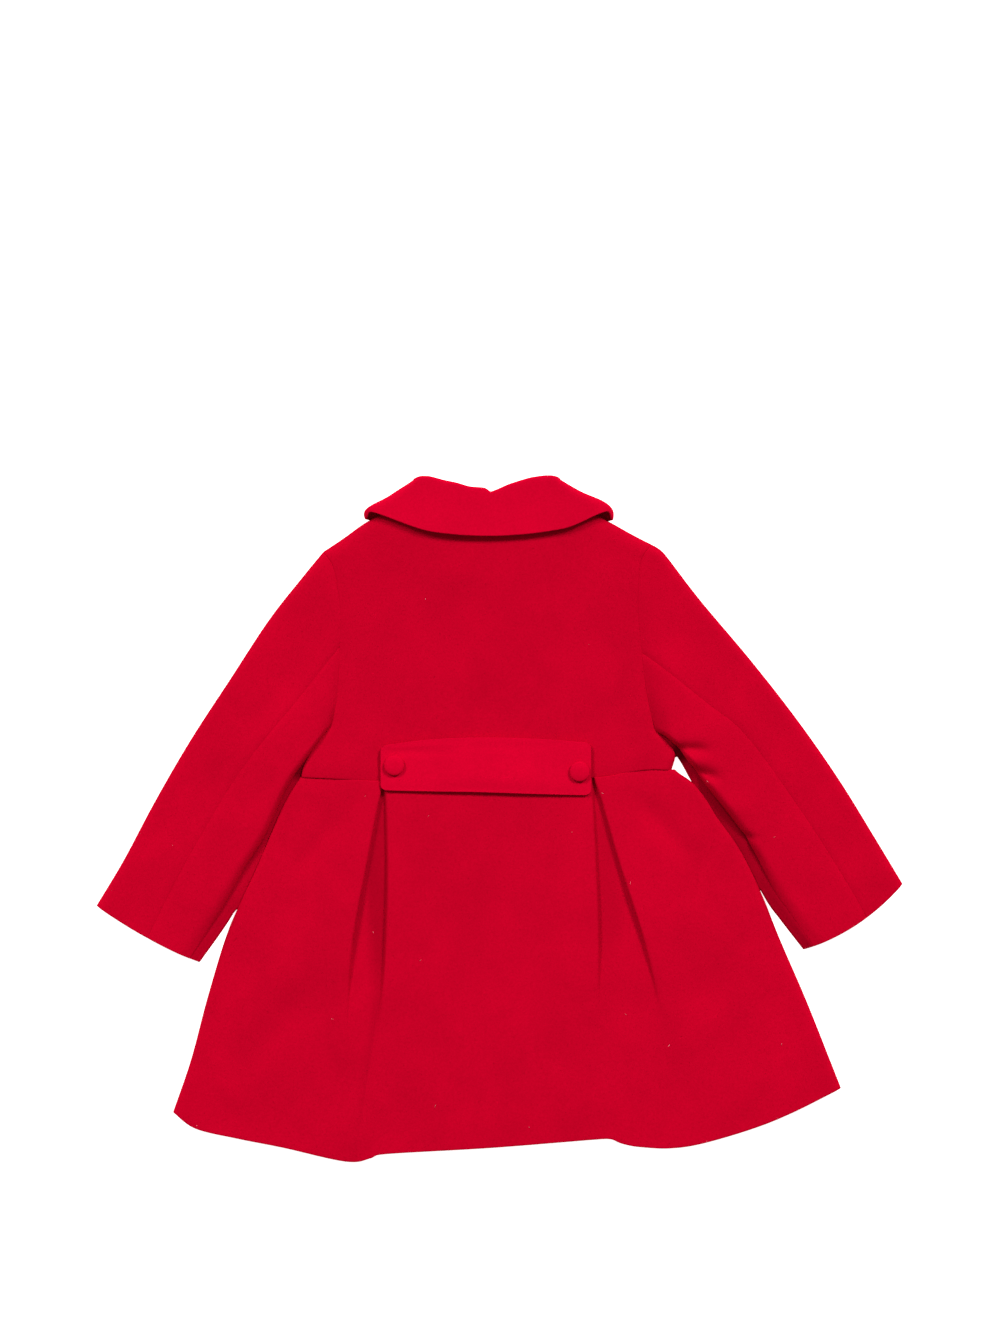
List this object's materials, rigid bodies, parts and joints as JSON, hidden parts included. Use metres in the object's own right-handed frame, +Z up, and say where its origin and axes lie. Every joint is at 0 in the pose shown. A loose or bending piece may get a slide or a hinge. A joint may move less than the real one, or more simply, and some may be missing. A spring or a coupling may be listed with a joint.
{
  "type": "child's pleated coat laid flat",
  "caption": "Child's wool coat laid flat on its front, with a rounded collar, two-piece sleeves, a buttoned half belt and a skirt folded into inverted back pleats; worn over clothes for warmth.",
  "frame": {"origin": "on the surface the coat lies on, under the middle of its outline", "axes": "+X to the coat's right hand side as seen from above, +Y towards the collar, +Z up off the surface"},
  "size_m": [0.6034, 0.5136, 0.0167],
  "materials": {
    "coat_wool": "felted red wool, soft matt nap",
    "collar_wool": "the same red wool, brighter where it faces the light",
    "belt_wool": "the same red wool, doubled and pressed",
    "button_wool": "button covered in the same red wool"
  },
  "bodies": {
    "root": {"back_bodice": "coat_wool", "front_bodice_left": "coat_wool", "front_bodice_right": "coat_wool", "sleeve_left_top": "coat_wool", "sleeve_left_under": "coat_wool", "sleeve_right_top": "coat_wool", "sleeve_right_under": "coat_wool", "collar": "collar_wool", "skirt_back": "coat_wool", "skirt_front_left": "coat_wool", "skirt_front_right": "coat_wool", "half_belt": "belt_wool", "button_left": "button_wool", "button_right": "button_wool"}
  },
  "joints": []
}
